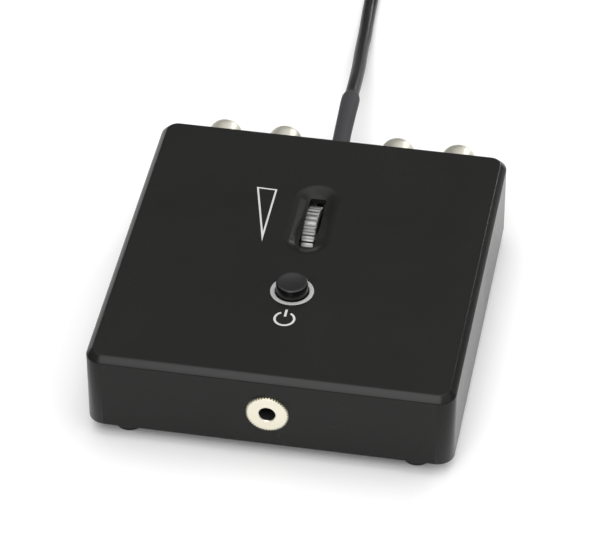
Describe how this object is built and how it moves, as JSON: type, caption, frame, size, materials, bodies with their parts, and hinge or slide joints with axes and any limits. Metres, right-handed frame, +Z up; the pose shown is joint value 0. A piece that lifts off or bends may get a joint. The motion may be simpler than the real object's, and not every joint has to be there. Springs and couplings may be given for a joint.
{
  "type": "phono preamplifier",
  "caption": "Low black metal phono preamp with a lit power button, a sunk ridged volume wheel, a headphone socket, phono sockets and a captive lead with a barrel plug.",
  "frame": {"origin": "on the floor under the middle of the case with its nut and sockets, without the lead", "axes": "+X to the right seen from the front, +Y from the headphone socket to the rear, +Z up"},
  "size_m": [0.1117, 0.2368, 0.025],
  "materials": {
    "black_anodised": "fine matte anodised",
    "black_paint": "matte powder coat",
    "zinc_screw": "zinc plated",
    "black_screw": "blackened",
    "rubber": "matte",
    "green_board": "solder mask",
    "brass_spacer": "turned",
    "black_plastic": "moulded",
    "nickel": "bright nickel plate",
    "warm_nickel": "satin nickel plate",
    "white_insulator": "moulded",
    "red_insulator": "moulded",
    "gold_contact": "gold plated",
    "frosted_ring": "frosted clear acrylic",
    "lamp": "clear resin",
    "black_cap": "satin moulded",
    "white_plastic": "moulded",
    "wheel_metal": "satin, ridged",
    "steel": "bright",
    "blue_plastic": "moulded",
    "red_film": "dipped",
    "capacitor_sleeve": "shrunk sleeve",
    "resistor_body": "lacquered",
    "relay_case": "moulded",
    "core_sheath": "extruded",
    "ground_sheath": "extruded",
    "cord_sheath": "satin extruded"
  },
  "bodies": {
    "case": {"top_shell": "black_anodised", "base_plate": "black_paint", "base_screws": "black_screw", "rubber_feet": "rubber", "main_board": "green_board", "board_spacers": "brass_spacer", "board_screws": "zinc_screw", "input_socket_block": "black_plastic", "output_socket_block": "black_plastic", "input_left_shell": "nickel", "input_right_shell": "nickel", "output_left_shell": "nickel", "output_right_shell": "nickel", "left_insulators": "white_insulator", "right_insulators": "red_insulator", "socket_contacts": "gold_contact", "headphone_body": "black_plastic", "headphone_bushing": "black_plastic", "headphone_nut": "warm_nickel", "headphone_contacts": "gold_contact", "light_ring": "frosted_ring", "ring_leds": "lamp", "switch_body": "black_plastic", "switch_spring": "steel", "pot_housing": "blue_plastic", "pot_terminals": "steel", "mode_switch_body": "black_plastic", "phono_chips": "black_plastic", "headphone_chip": "black_plastic", "film_capacitors": "red_film", "electrolytic_capacitors": "capacitor_sleeve", "resistors": "resistor_body", "regulator": "black_plastic", "muting_relays": "relay_case", "supply_header": "white_plastic", "supply_wires": "core_sheath", "cable_grommet": "rubber", "lead_clamp": "white_plastic", "strain_relief": "cord_sheath", "ground_stud": "nickel", "ground_lock_nut": "zinc_screw", "ground_lug": "nickel", "ground_wire": "ground_sheath", "cord_lead": "cord_sheath", "cord_coil": "cord_sheath", "cord_tail": "cord_sheath", "cord_tie": "black_plastic", "plug_body": "cord_sheath", "plug_barrel": "nickel", "plug_insert": "black_plastic"},
    "wheel": {"volume_wheel": "wheel_metal", "volume_shaft": "steel", "wheel_screw": "zinc_screw", "pot_wiper": "gold_contact"},
    "button": {"power_button": "black_cap", "switch_plunger": "white_plastic"},
    "slider": {"mode_slider": "white_plastic"},
    "washer": {"ground_washer": "nickel"},
    "nut": {"ground_nut": "warm_nickel"}
  },
  "joints": [
    {"name": "volume_turn", "type": "hinge", "parent": "case", "child": "wheel", "pos_m": [0, 0.0072, 0.01465], "axis": [1, 0, 0], "range_deg": [-150, 150]},
    {"name": "power_press", "type": "slide", "parent": "case", "child": "button", "axis": [0, 0, -1], "range_m": [0, 0.0022], "stiffness_N_per_m": 800, "deforming": ["switch_spring"]},
    {"name": "mode_slide", "type": "slide", "parent": "case", "child": "slider", "axis": [1, 0, 0], "range_m": [0, 0.002]},
    {"name": "ground_back_off", "type": "slide", "parent": "case", "child": "washer", "axis": [0, 1, 0], "range_m": [0, 0.001]},
    {"name": "ground_turn", "type": "hinge", "parent": "washer", "child": "nut", "pos_m": [0.00575, 0.0385, 0.0091], "axis": [0, 1, 0], "range_deg": [0, 720]}
  ],
  "couplings": [
    {"joint": "ground_turn", "follows": "ground_back_off", "rad_per_m": 12566}
  ]
}
